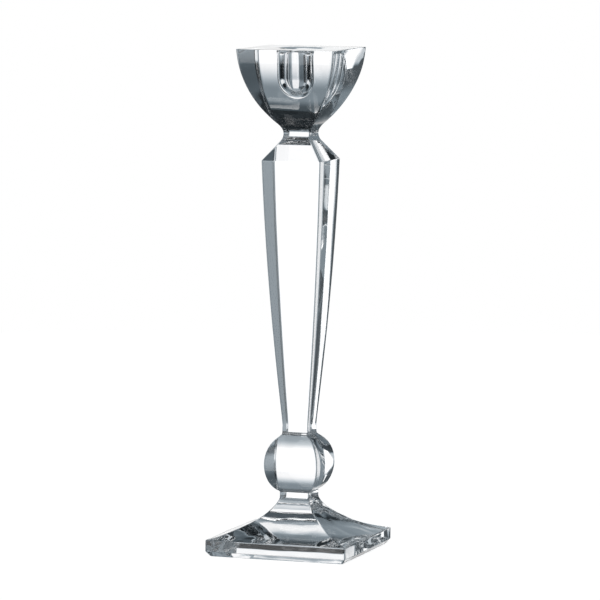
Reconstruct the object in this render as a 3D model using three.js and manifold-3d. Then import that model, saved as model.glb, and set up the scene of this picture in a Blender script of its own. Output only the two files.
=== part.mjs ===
// Glass candlestick: a square foot, a square knop, a tapering square column and a square cup.
// Millimetres, +Z up. The origin is the centre of the underside, and the flats face X and Y.
import * as THREE from "three";
import { mergeVertices } from "three/addons/utils/BufferGeometryUtils.js";
import Module from "manifold-3d";

const wasm = await Module();
wasm.setup();

// Heights of the joints between the sections, and of the whole candlestick.
const FOOT_TOP = 34.5;
const KNOP_TOP = 76;
const COLUMN_TOP = 254;
const TOTAL_HEIGHT = 305;

// Half widths of the square section at those joints, where the glass is waisted.
const FOOT_WAIST = 9.45;
const KNOP_WAIST = 8.4;
const COLUMN_WAIST = 8.55;

// Foot: a square slab with a bevelled lower edge, and a concave sweep up to the waist.
const SLAB_HALF_WIDTH = 44.9;
const SLAB_HEIGHT = 10.1;
const SLAB_BEVEL_WIDTH = 2.4;
const SLAB_BEVEL_HEIGHT = 3.1;
const SWEEP_EDGE_REACH = 22.8;
const SWEEP_EDGE_RISE = 4.7;
const SWEEP_WAIST_DROP = 5.8;
const SWEEP_END_DROP = 1.1;

// Knop: its four faces bulge as parts of an ellipse, between a crease and a small fillet.
const KNOP_HALF_WIDTH = 17.15;
const KNOP_MIDDLE = 53.5;
const KNOP_BULGE_WIDTH = 11.2;
const KNOP_BULGE_HEIGHT = 17.6;
const KNOP_CREASE_HEIGHT = 37.5;
const KNOP_CREASE_RISE = 1.8;
const KNOP_BULGE_END_HEIGHT = 68.5;
const KNOP_FILLET_HEIGHT = 71.2;
const KNOP_FILLET_WIDTH = 0.4;
const KNOP_FILLET_END_HEIGHT = 73.5;

// Column: slightly swollen sides that widen upwards to a pyramid shoulder.
const COLUMN_SPRING_RISE = 2.3;
const COLUMN_FOOT_HEIGHT = 82;
const COLUMN_FOOT_HALF_WIDTH = 8.75;
const COLUMN_HALF_WIDTH = 18.95;
const COLUMN_SWELL_HEIGHT = 166;
const COLUMN_SWELL_HALF_WIDTH = 16.7;
const SHOULDER_HEIGHT = 237.8;
const SHOULDER_END_HEIGHT = 249.4;
const SHOULDER_END_HALF_WIDTH = 9.9;
const SHOULDER_FILLET_HEIGHT = 251.2;

// Cup: a bowl whose sides are arcs, and a round candle socket with a rounded floor and mouth.
const CUP_HALF_WIDTH = 31.6;
const CUP_ARC_RADIUS = 71.3;
const CUP_ARC_CENTRE_HEIGHT = 309.2;
const CUP_ARC_START_HEIGHT = 260.5;
const CUP_NECK_RISE = 3;
const RIM_ROUNDING = 0.8;
const SOCKET_RADIUS = 11.25;
const SOCKET_DEPTH = 25.7;
const SOCKET_FLOOR_RISE = 11;
const SOCKET_MOUTH_RADIUS = 13;
const SOCKET_MOUTH_DEPTH = 3.2;
const SOCKET_MOUTH_EASE = 1;
const SOCKET_OVERSHOOT = 1;
const SOCKET_SIDES = 48;

// Steps that a curve of an outline is divided into.
const CURVE_STEPS = 14;
const SOCKET_STEPS = 6;

// An outline runs from the axis at the bottom, up the outside, and back to the axis at the top.
// Four steps round the axis make its square section, whose corners lie sqrt(2) times further out.
function squareBody(outline) {
  const corners = outline.getPoints(CURVE_STEPS);
  corners.forEach((corner) => {
    corner.x *= Math.SQRT2;
  });
  const body = new THREE.LatheGeometry(corners, 4, Math.PI / 4);
  body.rotateX(Math.PI / 2);
  return body;
}

function glassMesh(name, geometry, colour) {
  const glass = new THREE.MeshStandardMaterial({ color: colour, roughness: 0.03, metalness: 0 });
  const mesh = new THREE.Mesh(geometry, glass);
  mesh.name = name;
  return mesh;
}

function solidOf(geometry) {
  const bare = geometry.clone();
  bare.deleteAttribute("normal");
  bare.deleteAttribute("uv");
  const merged = mergeVertices(bare, 1e-3);
  const vertProperties = merged.attributes.position.array;
  const triVerts = new Uint32Array(merged.index.array);
  return new wasm.Manifold(new wasm.Mesh({ numProp: 3, vertProperties, triVerts }));
}

function geometryOf(solid) {
  const { vertProperties, triVerts } = solid.getMesh();
  const geometry = new THREE.BufferGeometry();
  geometry.setAttribute("position", new THREE.BufferAttribute(vertProperties, 3));
  geometry.setIndex(new THREE.BufferAttribute(triVerts, 1));
  geometry.computeVertexNormals();
  return geometry;
}

function makeFoot() {
  const outline = new THREE.Path();
  outline.moveTo(0, 0);
  outline.lineTo(SLAB_HALF_WIDTH - SLAB_BEVEL_WIDTH, 0);
  outline.lineTo(SLAB_HALF_WIDTH, SLAB_BEVEL_HEIGHT);
  outline.lineTo(SLAB_HALF_WIDTH, SLAB_HEIGHT);
  outline.bezierCurveTo(
    SLAB_HALF_WIDTH - SWEEP_EDGE_REACH,
    SLAB_HEIGHT + SWEEP_EDGE_RISE,
    FOOT_WAIST,
    FOOT_TOP - SWEEP_WAIST_DROP,
    FOOT_WAIST,
    FOOT_TOP - SWEEP_END_DROP,
  );
  outline.lineTo(FOOT_WAIST, FOOT_TOP);
  outline.lineTo(0, FOOT_TOP);
  return glassMesh("foot", squareBody(outline), 0xdfe8ee);
}

function makeKnop() {
  const bulgeCentre = KNOP_HALF_WIDTH - KNOP_BULGE_WIDTH;
  const creaseAngle = Math.asin((KNOP_CREASE_HEIGHT - KNOP_MIDDLE) / KNOP_BULGE_HEIGHT);
  const endAngle = Math.asin((KNOP_BULGE_END_HEIGHT - KNOP_MIDDLE) / KNOP_BULGE_HEIGHT);
  const outline = new THREE.Path();
  outline.moveTo(0, FOOT_TOP);
  outline.lineTo(FOOT_WAIST, FOOT_TOP);
  outline.lineTo(FOOT_WAIST, FOOT_TOP + KNOP_CREASE_RISE);
  outline.absellipse(
    bulgeCentre,
    KNOP_MIDDLE,
    KNOP_BULGE_WIDTH,
    KNOP_BULGE_HEIGHT,
    creaseAngle,
    endAngle,
  );
  outline.lineTo(KNOP_WAIST + KNOP_FILLET_WIDTH, KNOP_FILLET_HEIGHT);
  outline.quadraticCurveTo(
    KNOP_WAIST,
    KNOP_FILLET_HEIGHT + KNOP_FILLET_WIDTH,
    KNOP_WAIST,
    KNOP_FILLET_END_HEIGHT,
  );
  outline.lineTo(KNOP_WAIST, KNOP_TOP);
  outline.lineTo(0, KNOP_TOP);
  return glassMesh("knop", squareBody(outline), 0xe6edf2);
}

function makeColumn() {
  const outline = new THREE.Path();
  outline.moveTo(0, KNOP_TOP);
  outline.lineTo(KNOP_WAIST, KNOP_TOP);
  outline.quadraticCurveTo(
    KNOP_WAIST,
    KNOP_TOP + COLUMN_SPRING_RISE,
    COLUMN_FOOT_HALF_WIDTH,
    COLUMN_FOOT_HEIGHT,
  );
  outline.quadraticCurveTo(
    COLUMN_SWELL_HALF_WIDTH,
    COLUMN_SWELL_HEIGHT,
    COLUMN_HALF_WIDTH,
    SHOULDER_HEIGHT,
  );
  outline.lineTo(SHOULDER_END_HALF_WIDTH, SHOULDER_END_HEIGHT);
  outline.quadraticCurveTo(
    COLUMN_WAIST,
    SHOULDER_FILLET_HEIGHT,
    COLUMN_WAIST,
    COLUMN_TOP,
  );
  outline.lineTo(0, COLUMN_TOP);
  return glassMesh("column", squareBody(outline), 0xeef3f6);
}

// The cup's solid bowl, before the candle socket is cut from it.
function cupBowl() {
  const arcCentre = CUP_HALF_WIDTH - CUP_ARC_RADIUS;
  const startAngle = Math.asin((CUP_ARC_START_HEIGHT - CUP_ARC_CENTRE_HEIGHT) / CUP_ARC_RADIUS);
  const rimAngle = Math.asin(
    (TOTAL_HEIGHT - RIM_ROUNDING - CUP_ARC_CENTRE_HEIGHT) / CUP_ARC_RADIUS,
  );
  const arcStart = arcCentre + CUP_ARC_RADIUS * Math.cos(startAngle);
  const outline = new THREE.Path();
  outline.moveTo(0, COLUMN_TOP);
  outline.lineTo(COLUMN_WAIST, COLUMN_TOP);
  outline.quadraticCurveTo(
    COLUMN_WAIST,
    COLUMN_TOP + CUP_NECK_RISE,
    arcStart,
    CUP_ARC_START_HEIGHT,
  );
  outline.absarc(arcCentre, CUP_ARC_CENTRE_HEIGHT, CUP_ARC_RADIUS, startAngle, rimAngle);
  outline.lineTo(CUP_HALF_WIDTH - RIM_ROUNDING, TOTAL_HEIGHT);
  outline.lineTo(0, TOTAL_HEIGHT);
  return squareBody(outline);
}

// The round socket is blind: an elliptical floor, a straight wall and a mouth that opens out.
function candleSocket() {
  const floorTop = TOTAL_HEIGHT - SOCKET_DEPTH + SOCKET_FLOOR_RISE;
  const outline = new THREE.Path();
  outline.absellipse(0, floorTop, SOCKET_RADIUS, SOCKET_FLOOR_RISE, -Math.PI / 2, 0);
  outline.lineTo(SOCKET_RADIUS, TOTAL_HEIGHT - SOCKET_MOUTH_DEPTH);
  outline.quadraticCurveTo(
    SOCKET_RADIUS,
    TOTAL_HEIGHT - SOCKET_MOUTH_EASE,
    SOCKET_MOUTH_RADIUS,
    TOTAL_HEIGHT,
  );
  outline.lineTo(SOCKET_MOUTH_RADIUS, TOTAL_HEIGHT + SOCKET_OVERSHOOT);
  outline.lineTo(0, TOTAL_HEIGHT + SOCKET_OVERSHOOT);
  const profile = outline.getPoints(SOCKET_STEPS);
  profile[0].x = 0;
  const socket = new THREE.LatheGeometry(profile, SOCKET_SIDES);
  socket.rotateX(Math.PI / 2);
  return socket;
}

function makeCup() {
  const cup = solidOf(cupBowl()).subtract(solidOf(candleSocket()));
  return glassMesh("cup", geometryOf(cup), 0xd5dde6);
}

const candlestick = new THREE.Group();
candlestick.add(makeFoot(), makeKnop(), makeColumn(), makeCup());

export default candlestick;
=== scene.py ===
# %% [markdown]
# # A glass candlestick
# A tall candlestick in clear crystal glass, square from foot to rim: a slab foot with a swept top,
# a bulging knop, a column that widens upwards, and a flared cup with a round socket for the candle.
# The frame comes first. It holds the candlestick's sections as plain solids, and every surface made
# here takes its place from them.

import math

import bpy
from mathutils import Matrix, Vector


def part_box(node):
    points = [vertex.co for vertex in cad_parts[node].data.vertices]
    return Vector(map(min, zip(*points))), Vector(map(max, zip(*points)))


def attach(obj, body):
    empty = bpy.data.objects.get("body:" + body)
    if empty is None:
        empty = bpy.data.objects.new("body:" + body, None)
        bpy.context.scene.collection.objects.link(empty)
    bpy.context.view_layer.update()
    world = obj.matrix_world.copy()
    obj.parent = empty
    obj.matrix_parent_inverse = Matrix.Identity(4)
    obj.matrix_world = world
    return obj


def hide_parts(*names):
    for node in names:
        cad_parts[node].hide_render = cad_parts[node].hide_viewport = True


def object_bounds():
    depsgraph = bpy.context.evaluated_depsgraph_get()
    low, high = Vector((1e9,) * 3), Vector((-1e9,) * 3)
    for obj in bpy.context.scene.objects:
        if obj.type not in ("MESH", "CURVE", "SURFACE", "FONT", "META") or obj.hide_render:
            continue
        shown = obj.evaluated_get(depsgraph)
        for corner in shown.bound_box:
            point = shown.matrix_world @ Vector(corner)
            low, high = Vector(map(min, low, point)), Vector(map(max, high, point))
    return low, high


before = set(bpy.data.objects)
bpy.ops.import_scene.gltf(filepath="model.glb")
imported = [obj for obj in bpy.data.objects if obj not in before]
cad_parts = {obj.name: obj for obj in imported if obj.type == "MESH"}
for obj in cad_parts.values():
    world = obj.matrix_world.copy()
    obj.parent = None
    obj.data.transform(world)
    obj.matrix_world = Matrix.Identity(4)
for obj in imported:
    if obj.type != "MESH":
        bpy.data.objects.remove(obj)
cad_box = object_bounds()
MM = 0.001

# %% [markdown]
# ## Node trees as Python
# Both the shapes and the finishes are node trees. A small wrapper keeps them readable: `Graph.node`
# makes any node from its type, its settings and the values or links of its sockets, and `Value`
# wraps a socket so that ordinary arithmetic on it adds the Math nodes.


# %% A node tree that reads like arithmetic
class Value:
    """One output socket, which can be added, scaled and compared like a number."""

    def __init__(self, graph, socket):
        self.graph = graph
        self.socket = socket

    def math(self, operation, *others):
        inputs = dict(enumerate((self, *others)))
        return self.graph.node("ShaderNodeMath", {"operation": operation}, inputs)["Value"]

    def __add__(self, other):
        return self.math("ADD", other)

    def __sub__(self, other):
        return self.math("SUBTRACT", other)

    def __mul__(self, other):
        return self.math("MULTIPLY", other)

    def __truediv__(self, other):
        return self.math("DIVIDE", other)

    def __radd__(self, other):
        return self + other

    def __rsub__(self, other):
        return self * -1 + other

    def __rmul__(self, other):
        return self * other

    def above(self, edge, softness):
        """0 well below the edge, 1 well above it, with a smooth step between."""
        inputs = {"Value": self, "From Min": edge - softness, "From Max": edge + softness}
        settings = {"interpolation_type": "SMOOTHSTEP"}
        return self.graph.node("ShaderNodeMapRange", settings, inputs)["Result"]


class Node:
    """One node, whose outputs are read by name as Values."""

    def __init__(self, graph, made):
        self.graph = graph
        self.made = made

    def __getitem__(self, key):
        return Value(self.graph, find_socket(self.made.outputs, key))


def find_socket(sockets, key):
    if isinstance(key, int):
        return sockets[key]
    by_identifier = [socket for socket in sockets if socket.identifier == key]
    return by_identifier[0] if by_identifier else sockets[key]


class Graph:
    """A node tree: node() adds a node, with its settings first and then its sockets."""

    def __init__(self, tree):
        self.tree = tree
        self.tree.nodes.clear()

    def node(self, kind, settings=None, inputs=None):
        made = self.tree.nodes.new(kind)
        for name, setting in (settings or {}).items():
            setattr(made, name, setting)
        for key, value in (inputs or {}).items():
            socket = find_socket(made.inputs, key)
            if isinstance(value, Value):
                self.tree.links.new(value.socket, socket)
            else:
                socket.default_value = value
        return Node(self, made)


# %% [markdown]
# ## The rule of the shape
# Every level of the candlestick is a square with softened corners, and only its half width and
# height change on the way up. So each section is an outline, a line of points that carry a half
# width, a height and a corner radius, and one Geometry Nodes tree turns any outline into a body.
# A spin round the axis would make a round candlestick, and a box for each level would leave steps.

# %% The square-section tree: its named inputs
tree = bpy.data.node_groups.new("Square Section Body", "GeometryNodeTree")
sweep = Graph(tree)
tree.interface.new_socket("Geometry", in_out="OUTPUT", socket_type="NodeSocketGeometry")
tree.interface.new_socket("Outline", in_out="INPUT", socket_type="NodeSocketGeometry")
TREE_INPUTS = {}
for name, kind, default in (
    ("Corner Steps", "NodeSocketInt", 8),
    ("Side Steps", "NodeSocketInt", 4),
    ("Edge Margin", "NodeSocketFloat", 0.15 * MM),
    ("Crown", "NodeSocketFloat", 0.008),
    ("Roll Scale", "NodeSocketFloat", 28.0),
    ("Roll Stretch", "NodeSocketFloat", 1.0),
    ("Glass", "NodeSocketMaterial", None),
    ("Fused Joint", "NodeSocketMaterial", None),
):
    made = tree.interface.new_socket(name, in_out="INPUT", socket_type=kind)
    if default is not None:
        made.default_value = default
    TREE_INPUTS[name] = made.identifier
given = sweep.node("NodeGroupInput")
print("tree inputs:", TREE_INPUTS)

# %% A sheet of points: one column round the square for each row of the outline
corner_steps = given["Corner Steps"]
side_steps = given["Side Steps"]
per_quarter = corner_steps + side_steps + 1
columns = per_quarter * 4
rows = sweep.node(
    "GeometryNodeAttributeDomainSize", {"component": "MESH"}, {"Geometry": given["Outline"]}
)["Point Count"]
sheet = sweep.node(
    "GeometryNodeMeshGrid",
    None,
    {"Size X": 1.0, "Size Y": 1.0, "Vertices X": columns + 1, "Vertices Y": rows},
)["Mesh"]
grid_point = sweep.node("GeometryNodeInputPosition")["Position"]
place = sweep.node("ShaderNodeSeparateXYZ", None, {0: grid_point})
column = ((place["X"] + 0.5) * columns).math("ROUND")
row = ((place["Y"] + 0.5) * (rows - 1)).math("ROUND")


# %% Read the outline's half width, height and corner radius for each row
def of_row(value, kind):
    """What the outline holds at this row."""
    inputs = {"Geometry": given["Outline"], "Value": value, "Index": row}
    settings = {"data_type": kind, "domain": "POINT"}
    return sweep.node("GeometryNodeSampleIndex", settings, inputs)["Value"]


def outline_attribute(name):
    """A number that the outline's points carry."""
    reader = sweep.node("GeometryNodeInputNamedAttribute", {"data_type": "FLOAT"}, {"Name": name})
    return of_row(reader["Attribute"], "FLOAT")


here = sweep.node("GeometryNodeInputPosition")["Position"]
level = sweep.node("ShaderNodeSeparateXYZ", None, {0: of_row(here, "FLOAT_VECTOR")})
half = level["X"]
height = level["Z"]
WIDEST_CORNER = 0.999
radius = outline_attribute("corner_radius").math("MINIMUM", half * WIDEST_CORNER)
roundness = outline_attribute("roundness")
joint = outline_attribute("joint")
roll_depth = outline_attribute("roll")

# %% Place each column on the softened square, and on the circle for the round socket
QUARTER_TURN = math.pi / 2
quarter = (column / per_quarter).math("FLOOR")
step = column - quarter * per_quarter
on_corner = (step / corner_steps).math("MINIMUM", 1.0)
on_side = (step - corner_steps).math("MAXIMUM", 0.0)
flat = half - radius
WIDEST_MARGIN = 0.25
margin = given["Edge Margin"].math("MINIMUM", flat * WIDEST_MARGIN)
along = margin + (flat * 2 - margin * 2) * (on_side - 1) / (side_steps - 1)
along = along * on_side.math("MINIMUM", 1.0)
corner_angle = on_corner * QUARTER_TURN
across = flat + radius * corner_angle.math("COSINE") - along
outward = flat + radius * corner_angle.math("SINE")
turn = quarter * QUARTER_TURN
cosine = turn.math("COSINE")
sine = turn.math("SINE")
flat_x = across * cosine - outward * sine
flat_y = across * sine + outward * cosine
share_x = flat_x / half
share_y = flat_y / half
square_x = flat_x * (1 - given["Crown"] * share_y * share_y)
square_y = flat_y * (1 - given["Crown"] * share_x * share_x)
bearing = (column - corner_steps * 0.5) * (2 * math.pi) / columns + QUARTER_TURN / 2
round_x = half * bearing.math("COSINE")
round_y = half * bearing.math("SINE")
body_x = square_x + (round_x - square_x) * roundness
body_y = square_y + (round_y - square_y) * roundness
body_point = sweep.node("ShaderNodeCombineXYZ", None, {"X": body_x, "Y": body_y, "Z": height})

# %% [markdown]
# The sheet's points know their row only while it is still flat, so what the outline says of each
# row is stored first. Then the points move to their places, and merging the ones that fall together
# closes the seam and the poles, which makes the body watertight.

# %% Store each row's numbers, place the points, and close the seam and the poles
MERGE_DISTANCE = 0.0005 * MM
marked = sheet
for key, value in (("joint", joint), ("roll", roll_depth)):
    marked = sweep.node(
        "GeometryNodeStoreNamedAttribute",
        {"data_type": "FLOAT", "domain": "POINT"},
        {"Geometry": marked, "Name": key, "Value": value},
    )["Geometry"]
shaped = sweep.node(
    "GeometryNodeSetPosition", None, {"Geometry": marked, "Position": body_point["Vector"]}
)["Geometry"]
closed = sweep.node(
    "GeometryNodeMergeByDistance", None, {"Geometry": shaped, "Distance": MERGE_DISTANCE}
)["Geometry"]

# %% [markdown]
# Glass that has been pressed and fire polished is never quite flat. A slow noise pushes the surface
# in and out along its normal, by the depth that the outline carries, so the unevenness is real
# shape and bends what is seen through it. It fades to nothing at the joints, which have to meet.

# %% Let the surface wander
NOISE_MIDDLE = 0.5
NOISE_REACH = 0.2
body_place = sweep.node("GeometryNodeInputPosition")["Position"]
spot = sweep.node("ShaderNodeSeparateXYZ", None, {0: body_place})
stretched = sweep.node(
    "ShaderNodeCombineXYZ",
    None,
    {"X": spot["X"], "Y": spot["Y"], "Z": spot["Z"] * given["Roll Stretch"]},
)["Vector"]
wander = sweep.node(
    "ShaderNodeTexNoise",
    {"noise_dimensions": "3D"},
    {"Vector": stretched, "Scale": given["Roll Scale"], "Detail": 1.0, "Roughness": 0.4},
)["Fac"]
stored_roll = sweep.node(
    "GeometryNodeInputNamedAttribute", {"data_type": "FLOAT"}, {"Name": "roll"}
)["Attribute"]
push = stored_roll * (wander.above(NOISE_MIDDLE, NOISE_REACH) - NOISE_MIDDLE)
normal = sweep.node("GeometryNodeInputNormal")["Normal"]
rolling = sweep.node(
    "ShaderNodeVectorMath", {"operation": "SCALE"}, {"Vector": normal, "Scale": push}
)["Vector"]
rolled = sweep.node(
    "GeometryNodeSetPosition", None, {"Geometry": closed, "Offset": rolling}
)["Geometry"]

# %% Sharpen the joint faces and set the materials
ON_JOINT = 0.99
smooth = sweep.node(
    "GeometryNodeSetShadeSmooth", {"domain": "FACE"}, {"Geometry": rolled}
)["Geometry"]
on_joint = sweep.node("GeometryNodeInputNamedAttribute", {"data_type": "FLOAT"}, {"Name": "joint"})
is_joint = on_joint["Attribute"].math("GREATER_THAN", ON_JOINT)
creased = sweep.node(
    "GeometryNodeSetShadeSmooth",
    {"domain": "EDGE"},
    {"Geometry": smooth, "Selection": is_joint, "Shade Smooth": False},
)["Geometry"]
realized = sweep.node("GeometryNodeRealizeInstances", None, {"Geometry": creased})["Geometry"]
glazed = sweep.node(
    "GeometryNodeSetMaterial", None, {"Geometry": realized, "Material": given["Glass"]}
)["Geometry"]
fused = sweep.node(
    "GeometryNodeSetMaterial",
    None,
    {"Geometry": glazed, "Selection": is_joint, "Material": given["Fused Joint"]},
)["Geometry"]
sweep.node("NodeGroupOutput", None, {"Geometry": fused})
print("square-section tree:", len(tree.nodes), "nodes")

# %% [markdown]
# ## Outlines
# A pressed glass surface is made of arcs and slow curves that meet in small fillets, because hot
# glass never fills a sharp corner of its mould. Each outline is therefore written as a few corners,
# Bezier curves and arcs, and `soften` rounds the corners by the fillet that each one carries.


# %% Curves for the outlines, in millimetres
def bezier(*handles, steps=40):
    """Points on a Bezier curve of any degree, by repeated interpolation of its handles."""
    points = []
    for i in range(steps + 1):
        t = i / steps
        row = [Vector(handle) for handle in handles]
        while len(row) > 1:
            row = [a.lerp(b, t) for a, b in zip(row, row[1:])]
        points.append(tuple(row[0]))
    return points


def ellipse(centre, half_width, half_height, start, end, steps=40):
    """Points on an ellipse, from one angle to another, in degrees."""
    angles = [math.radians(start + (end - start) * i / steps) for i in range(steps + 1)]
    return [
        (centre[0] + half_width * math.cos(a), centre[1] + half_height * math.sin(a)) for a in angles
    ]


def soften(corners, steps=6, straight=0.01, longest_cut=0.45):
    """Rounds each corner (half width, height, fillet) of an outline; other points are kept.

    A turn below `straight` radians is left, and a cut takes at most `longest_cut` of its side.
    """
    points = [corners[0][:2]]
    for before, corner, after in zip(corners, corners[1:], corners[2:]):
        tip = Vector(corner[:2])
        arriving = (tip - Vector(before[:2])).normalized()
        leaving = (Vector(after[:2]) - tip).normalized()
        bend = arriving.angle(leaving, 0.0)
        if len(corner) < 3 or bend < straight:
            points.append(corner[:2])
            continue
        room = min((tip - Vector(before[:2])).length, (Vector(after[:2]) - tip).length)
        cut = min(corner[2] * math.tan(bend / 2), room * longest_cut)
        points += bezier(tip - arriving * cut, tip, tip + leaving * cut, steps=steps)
    return points + [corners[-1][:2]]


def brace(points, margin=0.15, shortest=6):
    """Adds a point close to each end of a flat stretch, so that smooth shading leaves it flat.

    Only a stretch longer than `shortest` margins has room for the two points.
    """
    braced = [points[0]]
    for i in range(1, len(points)):
        start = Vector(points[i - 1])
        end = Vector(points[i])
        length = (end - start).length
        direction = (end - start) / length
        if length > shortest * margin:
            braced.append(tuple(start + direction * margin))
            braced.append(tuple(end - direction * margin))
        braced.append(points[i])
    return braced


# %% [markdown]
# ## Finishes
# Crystal glass is colourless, and its index of refraction is a little over 1.5. Its surface shines as
# if fire polished, with a roughness close to none. The larger unevenness is in the bodies' own
# shape, and the bump here adds a little more that is too slight to model. The faces where two
# sections are fused vanish in real glass, so here they let light straight through.

# %% The glass
GLASS_INDEX = 1.53
GLASS_TINT = (0.985, 0.99, 1.0, 1.0)
GLASS_BUMP = 0.02 * MM
BUMP_SCALE = 45.0
HANDLING_SCALE = 160.0
HANDLING_ROUGHNESS = 0.004


def new_material(name):
    material = bpy.data.materials.new(name)
    material.use_nodes = True
    return material, Graph(material.node_tree)


def make_glass(name, tint, roll_height):
    """Clear fire-polished crystal, with a slight bump and the faintest wear."""
    material, graph = new_material(name)
    where = graph.node("ShaderNodeTexCoord")["Object"]
    roll = graph.node(
        "ShaderNodeTexNoise",
        {"noise_dimensions": "3D"},
        {"Vector": where, "Scale": BUMP_SCALE, "Detail": 1.0, "Roughness": 0.4},
    )["Fac"]
    uneven = graph.node(
        "ShaderNodeBump", None, {"Height": roll, "Strength": 1.0, "Distance": roll_height}
    )["Normal"]
    handled = graph.node(
        "ShaderNodeTexNoise",
        {"noise_dimensions": "3D"},
        {"Vector": where, "Scale": HANDLING_SCALE, "Detail": 3.0},
    )["Fac"]
    shader = graph.node(
        "ShaderNodeBsdfPrincipled",
        None,
        {
            "Base Color": tint,
            "Transmission Weight": 1.0,
            "IOR": GLASS_INDEX,
            "Roughness": handled * HANDLING_ROUGHNESS,
            "Normal": uneven,
        },
    )
    graph.node("ShaderNodeOutputMaterial", None, {"Surface": shader["BSDF"]})
    return material


def make_fused_joint():
    """The vanished face between two fused sections."""
    material, graph = new_material("fused_joint")
    shader = graph.node("ShaderNodeBsdfPrincipled", None, {"Alpha": 0.0, "IOR": 1.0})
    graph.node("ShaderNodeOutputMaterial", None, {"Surface": shader["BSDF"]})
    return material


clear_glass = make_glass("clear_crystal", GLASS_TINT, GLASS_BUMP)
fused_joint = make_fused_joint()
print("materials:", clear_glass.name, fused_joint.name)

# %% [markdown]
# ## From outline to body
# The outline becomes a line of mesh points, the tree sweeps it, and the result is kept as a plain
# mesh, so that nothing is left to evaluate later.


# %% Sweep an outline and keep the plain mesh
def sweep_body(name, outline, radii, roll, crown=0.008, corner=8, side=16, scale=28.0, stretch=1.0):
    """Sweeps an outline into a closed body, and keeps it as a plain mesh.

    outline: rows of half width, height (both in millimetres), roundness and joint.
    radii: the corner radius at the bottom and at the top, in millimetres.
    roll: gives the depth of the unevenness, in millimetres, at a half width and a height.
    scale and stretch: the fineness of the unevenness; a stretch below 1 draws it out upwards.
    """
    lows = min(row[1] for row in outline)
    highs = max(row[1] for row in outline)
    line = bpy.data.meshes.new(name + "_outline")
    points = [(half_width * MM, 0.0, z * MM) for half_width, z, _, _ in outline]
    line.from_pydata(points, [(i, i + 1) for i in range(len(points) - 1)], [])
    columns_of_numbers = {
        "corner_radius": [
            (radii[0] + (radii[1] - radii[0]) * (z - lows) / (highs - lows)) * MM
            for _, z, _, _ in outline
        ],
        "roundness": [row[2] for row in outline],
        "joint": [row[3] for row in outline],
        "roll": [roll(half_width, z) * MM for half_width, z, _, _ in outline],
    }
    for key, numbers in columns_of_numbers.items():
        line.attributes.new(key, "FLOAT", "POINT").data.foreach_set("value", numbers)
    piece = bpy.data.objects.new(name, line)
    bpy.context.scene.collection.objects.link(piece)
    modifier = piece.modifiers.new("sweep", "NODES")
    modifier.node_group = tree
    modifier[TREE_INPUTS["Corner Steps"]] = corner
    modifier[TREE_INPUTS["Side Steps"]] = side
    modifier[TREE_INPUTS["Crown"]] = crown
    modifier[TREE_INPUTS["Roll Scale"]] = scale
    modifier[TREE_INPUTS["Roll Stretch"]] = stretch
    modifier[TREE_INPUTS["Glass"]] = clear_glass
    modifier[TREE_INPUTS["Fused Joint"]] = fused_joint
    evaluated = piece.evaluated_get(bpy.context.evaluated_depsgraph_get())
    swept = bpy.data.meshes.new_from_object(evaluated)
    piece.modifiers.remove(modifier)
    piece.data = swept
    swept.name = name
    print(name, len(swept.vertices), "points", len(swept.polygons), "faces")
    return piece


# %% [markdown]
# ## The four sections
# Heights and half widths at the joints come from the frame, so each body sits exactly where its
# section does. Only the way the surface runs between the joints is drawn here.

# %% The places of the joints
JOINT_RADIUS = 1.0
RIM_RADIUS = 2.4
FOOT_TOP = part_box("foot")[1].z / MM
KNOP_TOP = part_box("knop")[1].z / MM
COLUMN_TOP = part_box("column")[1].z / MM
RIM_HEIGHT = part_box("cup")[1].z / MM
SLAB_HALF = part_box("foot")[1].x / MM
KNOP_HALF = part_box("knop")[1].x / MM
COLUMN_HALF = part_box("column")[1].x / MM
CUP_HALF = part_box("cup")[1].x / MM
FOOT_WAIST = 9.45
KNOP_WAIST = 8.4
COLUMN_WAIST = 8.55
print("joints at", FOOT_TOP, KNOP_TOP, COLUMN_TOP, "rim at", RIM_HEIGHT)


# %% Mark the joint faces at the ends of an outline
def with_joints(points, bottom, top):
    """Adds roundness 0 and marks the flat joint face at the bottom, at the top, or at both."""
    last = len(points) - 1
    rows = []
    for i, (half_width, z) in enumerate(points):
        is_joint_row = (bottom and i < 2) or (top and i > last - 2)
        rows.append((half_width, z, 0.0, 1.0 if is_joint_row else 0.0))
    return rows


# %% Roll that fades out before a joint
def fade(z, low, high, reach):
    """0 at the heights low and high, 1 from reach millimetres inside them."""
    share = max(0.0, min((z - low) / reach, (high - z) / reach, 1.0))
    return share * share * (3 - 2 * share)


# %% [markdown]
# The foot is a heavy slab, with a bevel along its lower edge that keeps the corner from chipping. Its
# top sweeps up to the waist in one slow curve. It is wide and low so that the tall column stands
# firm, and its top is the most uneven surface of the whole piece.

# %% The foot
SLAB_HEIGHT = 10.1
BEVEL_WIDTH = 2.4
BEVEL_HEIGHT = 3.1
UNDERSIDE_FILLET = 0.5
SLAB_FILLET = 0.8
SLAB_CORNER_RADIUS = 1.2
SWEEP_EDGE_REACH = 22.8
SWEEP_EDGE_RISE = 4.7
SWEEP_WAIST_DROP = 5.8
SWEEP_END_DROP = 1.1
SLAB_ROLL = 0.2
SWEEP_ROLL = 0.4
ROLL_CLEARANCE = 0.02
slab_half = SLAB_HALF - SLAB_ROLL / 2 - ROLL_CLEARANCE
slab = [
    (0.0, 0.0),
    (slab_half - BEVEL_WIDTH, 0.0, UNDERSIDE_FILLET),
    (slab_half, BEVEL_HEIGHT, SLAB_FILLET),
]
SIDE_ROWS = 5
side_rise = (SLAB_HEIGHT - BEVEL_HEIGHT) / SIDE_ROWS
slab += [(slab_half, BEVEL_HEIGHT + i * side_rise) for i in range(1, SIDE_ROWS)]
slab.append((slab_half, SLAB_HEIGHT, SLAB_FILLET))
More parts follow.
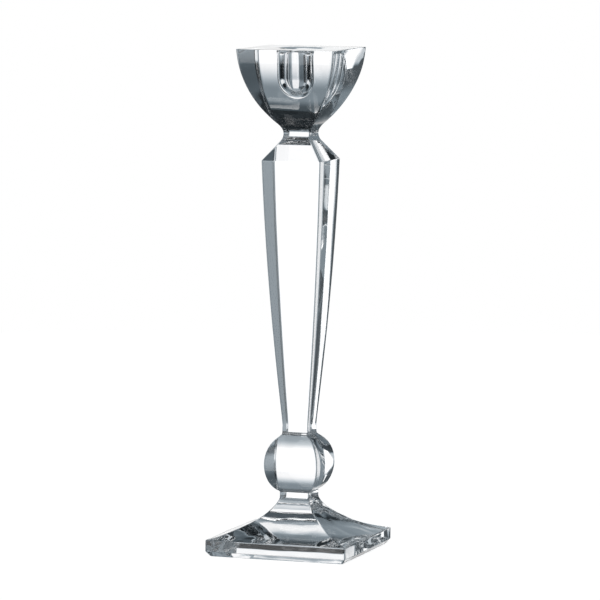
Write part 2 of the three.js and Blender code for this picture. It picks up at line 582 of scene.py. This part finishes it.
swept_top = bezier(
    (slab_half, SLAB_HEIGHT),
    (slab_half - SWEEP_EDGE_REACH, SLAB_HEIGHT + SWEEP_EDGE_RISE),
    (FOOT_WAIST, FOOT_TOP - SWEEP_WAIST_DROP),
    (FOOT_WAIST, FOOT_TOP - SWEEP_END_DROP),
)
foot_outline = brace(soften(slab + swept_top[1:])) + [(FOOT_WAIST, FOOT_TOP), (0.0, FOOT_TOP)]


def foot_roll(half_width, z, edge_reach=6.0, low=0.5, top_drop=2.0, reach=3.0):
    """Deeper on the swept top than on the slab's sides, none under the foot or at its joint."""
    inside_edge = 0.0
    if z > SLAB_HEIGHT:
        inside_edge = min(max(slab_half - half_width, 0.0) / edge_reach, 1.0)
    depth = SLAB_ROLL + (SWEEP_ROLL - SLAB_ROLL) * inside_edge
    return depth * fade(z, low, FOOT_TOP - top_drop, reach)


foot = sweep_body(
    "foot_body",
    with_joints(foot_outline, False, True),
    (SLAB_CORNER_RADIUS, JOINT_RADIUS),
    foot_roll,
    side=44,
    scale=52.0,
)

# %% [markdown]
# The knop is the square bulge that a hand closes round. Each face is part of an upright ellipse,
# which leaves a crease where it meets the foot, and a small fillet where it runs into the column.

# %% The knop
KNOP_MIDDLE = 53.5
BULGE_WIDTH = 11.2
BULGE_HEIGHT = 17.6
CREASE_ANGLE = -65.4
FILLET_ANGLE = 58.5
CREASE_RISE = 1.8
CREASE_BEND_RISE = 2.4
FILLET_START = (KNOP_WAIST + 0.4, 71.2)
FILLET_BEND_HEIGHT = 71.6
FILLET_END_HEIGHT = 73.5
KNOP_ROLL = 0.06
bulge_centre = (KNOP_HALF - BULGE_WIDTH, KNOP_MIDDLE)
bulge = ellipse(bulge_centre, BULGE_WIDTH, BULGE_HEIGHT, CREASE_ANGLE, FILLET_ANGLE, 60)
crease_start = (FOOT_WAIST, FOOT_TOP + CREASE_RISE)
crease_bend = (FOOT_WAIST, FOOT_TOP + CREASE_BEND_RISE)
crease = bezier(crease_start, crease_bend, bulge[0], steps=8)
fillet_end = (KNOP_WAIST, FILLET_END_HEIGHT)
fillet = bezier(FILLET_START, (KNOP_WAIST, FILLET_BEND_HEIGHT), fillet_end, steps=12)
knop_side = [(FOOT_WAIST, FOOT_TOP)] + crease + bulge[1:] + fillet + [(KNOP_WAIST, KNOP_TOP)]
knop_outline = [(0.0, FOOT_TOP)] + brace(knop_side) + [(0.0, KNOP_TOP)]


def knop_roll(half_width, z, reach=4.0):
    """The same all round, fading towards both joints."""
    return KNOP_ROLL * fade(z, FOOT_TOP, KNOP_TOP, reach)


knop = sweep_body(
    "knop_body",
    with_joints(knop_outline, True, True),
    (JOINT_RADIUS, JOINT_RADIUS),
    knop_roll,
    scale=50.0,
)

# %% [markdown]
# The column is one long bar of clear glass. Its sides swell slightly as they widen upwards, which
# keeps them from looking hollow, and a pyramid shoulder brings them back in to the waist. Its
# unevenness is drawn out along its length, so that edges seen through it bend slowly.

# %% The column
SHOULDER_HEIGHT = 237.8
TAPER_START = (8.75, 82.0)
SHOULDER_END = (9.9, 249.4)
SPRING_RISE = 2.3
TAPER_SWELL = (16.7, 166.0)
SHOULDER_FILLET = 0.8
NECK_BEND_HEIGHT = 251.2
COLUMN_ROLL = 0.05
spring = bezier(
    (KNOP_WAIST, KNOP_TOP), (KNOP_WAIST, KNOP_TOP + SPRING_RISE), TAPER_START, steps=10
)
taper = bezier(TAPER_START, TAPER_SWELL, (COLUMN_HALF, SHOULDER_HEIGHT), steps=60)
shoulder = [(COLUMN_HALF, SHOULDER_HEIGHT, SHOULDER_FILLET), SHOULDER_END]
neck_bend = (COLUMN_WAIST, NECK_BEND_HEIGHT)
column_neck = bezier(SHOULDER_END, neck_bend, (COLUMN_WAIST, COLUMN_TOP), steps=12)
column_side = brace(soften(spring + taper[1:-1] + shoulder)) + column_neck[1:]
column_outline = [(0.0, KNOP_TOP)] + column_side + [(0.0, COLUMN_TOP)]


def column_roll(half_width, z, reach=8.0):
    """The same all round, fading towards both joints."""
    return COLUMN_ROLL * fade(z, KNOP_TOP, COLUMN_TOP, reach)


column_body = sweep_body(
    "column_body",
    with_joints(column_outline, True, True),
    (JOINT_RADIUS, JOINT_RADIUS),
    column_roll,
    crown=0.014,
    side=20,
    scale=70.0,
    stretch=0.15,
)

# %% [markdown]
# The cup is a square bowl whose sides are arcs. A round socket goes down into it from the top, with
# a softened mouth to guide the candle in and a rounded floor, as a plunger would press it. So its
# outline runs up the outside, over the rim, and down the socket to the axis, and the section
# turns from a square to a circle on the way across the rim.

# %% The cup: outside, rim, mouth and socket in one outline
CUP_RADIUS = 71.3
CUP_ARC_CENTRE = 309.2
SOCKET_RADIUS = 11.25
SOCKET_DEPTH = 25.7
SOCKET_FLOOR_RISE = 11.0
MOUTH_RADIUS = 13.0
MOUTH_DEPTH = 3.2
MOUTH_EASE = 1.0
MOUTH_EDGE = 17.0
MOUTH_BEND = 12.2
RIM_EDGE = 22.0
RIM_FILLET = 1.0
ARC_START_HEIGHT = 260.5
ARC_SHIFT = 0.06
CUP_NECK_RISE = 3.0
CUP_ROLL = 0.1
cup_arc_centre = (CUP_HALF - CUP_RADIUS + ARC_SHIFT, CUP_ARC_CENTRE)
start_angle = math.degrees(math.asin((ARC_START_HEIGHT - CUP_ARC_CENTRE) / CUP_RADIUS))
rim_angle = math.degrees(math.asin((RIM_HEIGHT - CUP_ARC_CENTRE) / CUP_RADIUS))
bowl = ellipse(cup_arc_centre, CUP_RADIUS, CUP_RADIUS, start_angle, rim_angle, 60)
cup_neck = bezier(
    (COLUMN_WAIST, COLUMN_TOP), (COLUMN_WAIST, COLUMN_TOP + CUP_NECK_RISE), bowl[0], steps=12
)
bowl_side = cup_neck + bowl[1:-1] + [(*bowl[-1], RIM_FILLET), (RIM_EDGE, RIM_HEIGHT)]
outside = brace(soften(bowl_side))
socket_top = RIM_HEIGHT - MOUTH_DEPTH
floor_centre = (0.0, RIM_HEIGHT - SOCKET_DEPTH + SOCKET_FLOOR_RISE)
mouth = bezier(
    (MOUTH_EDGE, RIM_HEIGHT),
    (MOUTH_BEND, RIM_HEIGHT),
    (SOCKET_RADIUS, RIM_HEIGHT - MOUTH_EASE),
    (SOCKET_RADIUS, socket_top),
    steps=24,
)
socket_floor = ellipse(floor_centre, SOCKET_RADIUS, SOCKET_FLOOR_RISE, 0.0, -90.0, 40)
cup_rows = [(0.0, COLUMN_TOP, 0.0, 1.0)]
cup_rows += [(half_width, z, 0.0, 0.0) for half_width, z in outside]
cup_rows[1] = (*outside[0], 0.0, 1.0)
cup_rows += [(half_width, z, 1.0, 0.0) for half_width, z in mouth + socket_floor[:-1]]
cup_rows.append((0.0, socket_floor[-1][1], 1.0, 0.0))


def cup_roll(half_width, z, side_reach=4.0, reach=6.0):
    """Only outside the bowl: the rim, the mouth and the socket stay true for the candle."""
    outside_share = max(0.0, min((half_width - MOUTH_RADIUS) / side_reach, 1.0))
    return CUP_ROLL * fade(z, COLUMN_TOP, RIM_HEIGHT, reach) * outside_share


cup = sweep_body(
    "cup_body", cup_rows, (JOINT_RADIUS, RIM_RADIUS), cup_roll, corner=10, side=20, scale=35.0
)

# %% [markdown]
# ## Onto the frame
# Each body rides with the candlestick and stands for its plain section, which is hidden.

# %% Place the bodies
BODIES = {"foot": foot, "knop": knop, "column": column_body, "cup": cup}
for section, body in BODIES.items():
    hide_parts(section)
    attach(body, "root")
print("placed:", {section: body.name for section, body in BODIES.items()})

# %% [markdown]
# ## The table and the light
# The candlestick stands on a plain pale floor. Clear glass shows its surroundings and hardly itself,
# so the floor is hidden from the light that has passed through the glass or bounced off it, and the
# studio below decides what the glass shows. Light crosses many surfaces inside solid glass, and each
# crossing counts as a bounce, so the limits on bounces are generous.

# %% A pale floor
FLOOR_SIDES = 96
FLOOR_RADIUS = 1.2
FLOOR_DROP = 0.2 * MM
FLOOR_TINT = (0.9, 0.9, 0.9, 1.0)
FLOOR_ROUGHNESS = 0.8
FLOOR_GLOW = 0.97
WHITE = (1, 1, 1, 1)
GLASS_BOUNCES = 24
OTHER_BOUNCES = 16
floor_mesh = bpy.data.meshes.new("studio_floor")
floor_turns = [i * math.tau / FLOOR_SIDES for i in range(FLOOR_SIDES)]
floor_rim = [
    (FLOOR_RADIUS * math.cos(a), FLOOR_RADIUS * math.sin(a), -FLOOR_DROP) for a in floor_turns
]
floor_mesh.from_pydata(floor_rim, [], [tuple(range(FLOOR_SIDES))])
floor = bpy.data.objects.new("studio_floor", floor_mesh)
bpy.context.scene.collection.objects.link(floor)
floor_material, floor_graph = new_material("pale_floor")
floor_shader = floor_graph.node(
    "ShaderNodeBsdfPrincipled",
    None,
    {
        "Base Color": FLOOR_TINT,
        "Roughness": FLOOR_ROUGHNESS,
        "Emission Color": WHITE,
        "Emission Strength": FLOOR_GLOW,
    },
)
floor_graph.node("ShaderNodeOutputMaterial", None, {"Surface": floor_shader["BSDF"]})
floor_mesh.materials.append(floor_material)
floor.visible_transmission = False
floor.visible_glossy = False
cycles = bpy.context.scene.cycles
cycles.max_bounces = GLASS_BOUNCES
cycles.transmission_bounces = GLASS_BOUNCES
cycles.glossy_bounces = OTHER_BOUNCES
cycles.transparent_max_bounces = OTHER_BOUNCES
print("floor:", FLOOR_RADIUS, "m in radius, bounces:", cycles.max_bounces)

# %% [markdown]
# The studio is drawn on the world round the glass. Each panel is a soft-edged patch of light or dark,
# placed by its compass azimuth and its elevation, as cards and softboxes stand round a product
# table. A white backdrop fills the flat faces with light, and the dark cards beside it draw the edges
# of the glass. The pale horizon, the pale room to the left and right and the darker table are there
# for views from the side and from behind, where the column would otherwise look black. To the camera
# itself everything behind the candlestick is plain white.

# %% Soft masks of direction
world = bpy.data.worlds.new("studio")
world.use_nodes = True
bpy.context.scene.world = world
studio = Graph(world.node_tree)
direction = studio.node("ShaderNodeTexCoord")["Generated"]
compass = studio.node("ShaderNodeSeparateXYZ", None, {0: direction})
east = compass["X"]
north = compass["Y"]
climb = compass["Z"]
level_length = (east * east + north * north).math("SQRT")


def towards_azimuth(azimuth, half_width, softness):
    """1 where the direction lies within half_width degrees of a compass azimuth, else 0."""
    angle = math.radians(azimuth)
    along = (east * math.sin(angle) + north * math.cos(angle)) / level_length
    inner = math.cos(math.radians(max(half_width - softness, 0.0)))
    outer = math.cos(math.radians(half_width + softness))
    return along.above((inner + outer) / 2, (inner - outer) / 2)


def higher_than(elevation, softness):
    """1 above an elevation in degrees, 0 below it."""
    low = math.sin(math.radians(elevation - softness))
    high = math.sin(math.radians(elevation + softness))
    return climb.above((low + high) / 2, (high - low) / 2)


def panel(azimuth, half_width, low, high, side_softness, low_softness, high_softness):
    """A soft-edged rectangle of the studio, by azimuth and elevation in degrees."""
    beside = towards_azimuth(azimuth, half_width, side_softness)
    return beside * higher_than(low, low_softness) * (1 - higher_than(high, high_softness))


# %% The panels: azimuth, half width, lowest and highest elevation, softness of the edges, light
BACK = 341.0
ROOM = 0.013
HORIZON = 0.68
HORIZON_LOW = (-18.0, 3.0)
HORIZON_HIGH = (-1.5, 2.5)
TABLE = 0.24
TABLE_EDGE = (-46.0, 9.0)
PANELS = {
    "pale room to the left": (270.0, 24.0, -19.0, 3.0, (12.0, 3.0, 5.0), 0.94),
    "pale room to the right": (90.0, 24.0, -19.0, 3.0, (12.0, 3.0, 5.0), 0.94),
    "glow round the backdrop": (BACK - 14.0, 36.0, -46.0, 12.0, (8.0, 8.0, 8.0), 0.28),
    "table behind": (BACK, 34.0, -72.0, -32.0, (14.0, 14.0, 6.0), 0.45),
    "grey above the backdrop": (BACK - 11.0, 34.0, -20.0, 49.0, (5.0, 6.0, 2.5), 0.1),
    "paler grey below it": (BACK - 11.0, 32.0, -20.0, 34.0, (5.0, 6.0, 5.0), 0.28),
    "fill from the far right": (128.0, 26.0, 2.0, 20.0, (10.0, 2.0, 5.0), 0.24),
    "white backdrop": (BACK - 1.0, 19.0, -33.0, 14.0, (4.0, 9.0, 8.0), 1.05),
    "grey card": (15.0, 15.0, -34.0, 38.0, (4.0, 8.0, 5.0), 0.11),
    "paler foot of the card": (15.0, 15.0, -19.0, 5.0, (4.0, 5.0, 14.0), 0.36),
    "front softbox": (198.5, 6.5, -22.0, 26.0, (3.0, 0.8, 8.0), 1.7),
    "small softbox": (205.2, 3.7, 27.0, 42.0, (0.7, 0.7, 0.7), 1.4),
    "ceiling": (70.0, 100.0, 52.0, 100.0, (20.0, 8.0, 3.0), 0.16),
}
horizon = higher_than(*HORIZON_LOW) * (1 - higher_than(*HORIZON_HIGH))
table_top = 1 - higher_than(*TABLE_EDGE)
light = horizon * (HORIZON - ROOM) + table_top * (TABLE - ROOM) + ROOM
for azimuth, half_width, low, high, softness, value in PANELS.values():
    light = light + (value - light) * panel(azimuth, half_width, low, high, *softness)
print("panels:", len(PANELS))

# %% The tint of the darks, and white for the camera
SLATE = (0.66, 0.86, 1.0, 1)


def mixed(share, first, second):
    """A colour between two, by a share that runs from 0 to 1."""
    colours = {"Factor_Float": share, "A_Color": first, "B_Color": second}
    return studio.node("ShaderNodeMix", {"data_type": "RGBA"}, colours)["Result_Color"]


slate = mixed(light, SLATE, WHITE)
seen = studio.node(
    "ShaderNodeVectorMath", {"operation": "SCALE"}, {"Vector": slate, "Scale": light}
)["Vector"]
is_camera_ray = studio.node("ShaderNodeLightPath")["Is Camera Ray"]
shown = mixed(is_camera_ray, seen, WHITE)
sky = studio.node("ShaderNodeBackground", None, {"Color": shown, "Strength": 1.0})
studio.node("ShaderNodeOutputWorld", None, {"Surface": sky["Background"]})
print("studio:", len(world.node_tree.nodes), "nodes")

# %% [markdown]
# ## The camera
# A long lens from far off keeps the upright edges nearly parallel, as in a catalogue picture. It
# looks from a little above the middle, and from a little to one side, so that two faces show.

# %% The camera
CAMERA_AZIMUTH = math.radians(19.23)
CAMERA_ELEVATION = math.radians(5.99)
CAMERA_ROLL = math.radians(0.30)
CAMERA_DISTANCE = 2.663
CAMERA_LENS = 264.4
CAMERA_SENSOR = 36.0
CAMERA_SHIFT = (-0.0002, 0.0005)
CAMERA_REACH = 50.0
aim = Vector((0.0, 0.0, (cad_box[0][2] + cad_box[1][2]) / 2))
towards = Vector(
    (
        math.sin(CAMERA_AZIMUTH) * math.cos(CAMERA_ELEVATION),
        -math.cos(CAMERA_AZIMUTH) * math.cos(CAMERA_ELEVATION),
        math.sin(CAMERA_ELEVATION),
    )
)
camera_data = bpy.data.cameras.new("camera")
camera_data.lens = CAMERA_LENS
camera_data.sensor_width = CAMERA_SENSOR
camera_data.shift_x, camera_data.shift_y = CAMERA_SHIFT
camera_data.clip_end = CAMERA_REACH
camera = bpy.data.objects.new("camera", camera_data)
camera.matrix_world = (
    Matrix.Translation(aim + towards * CAMERA_DISTANCE)
    @ towards.to_track_quat("Z", "Y").to_matrix().to_4x4()
    @ Matrix.Rotation(CAMERA_ROLL, 4, "Z")
)
bpy.context.scene.collection.objects.link(camera)
bpy.context.scene.camera = camera
bpy.context.scene.view_settings.view_transform = "Standard"
print("camera:", CAMERA_LENS, "mm lens,", CAMERA_DISTANCE, "m away")
